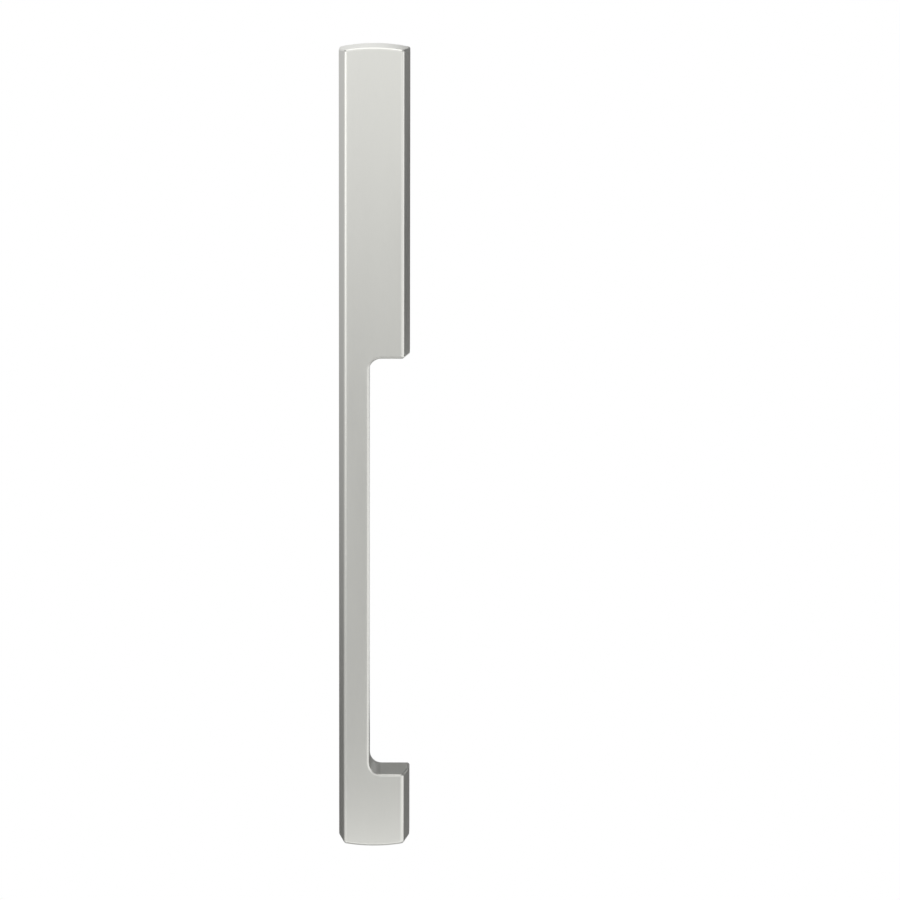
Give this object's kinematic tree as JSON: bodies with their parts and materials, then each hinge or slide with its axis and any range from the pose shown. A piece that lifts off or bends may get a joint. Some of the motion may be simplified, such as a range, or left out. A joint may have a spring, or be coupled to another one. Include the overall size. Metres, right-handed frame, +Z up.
{
  "type": "sliding patio door handle",
  "caption": "Satin aluminium pull for a sliding patio door: a slim bevelled bar with arched ends and a C-shaped finger cut-out, bolted from behind.",
  "frame": {"origin": "on the face of the door, midway between the two fixing bolts", "axes": "+Z up the handle; front faces -Y; the back and the bolts' mouths face +Y; the finger cut-out opens to +X"},
  "size_m": [0.03, 0.027, 0.34],
  "materials": {
    "satin_aluminium": "satin, fine grain along the length",
    "insert_steel": "turned, bright zinc plated",
    "gasket_rubber": "matte"
  },
  "bodies": {
    "root": {"handle_body": "satin_aluminium", "upper_insert": "insert_steel", "lower_insert": "insert_steel", "back_gasket": "gasket_rubber"}
  },
  "joints": []
}
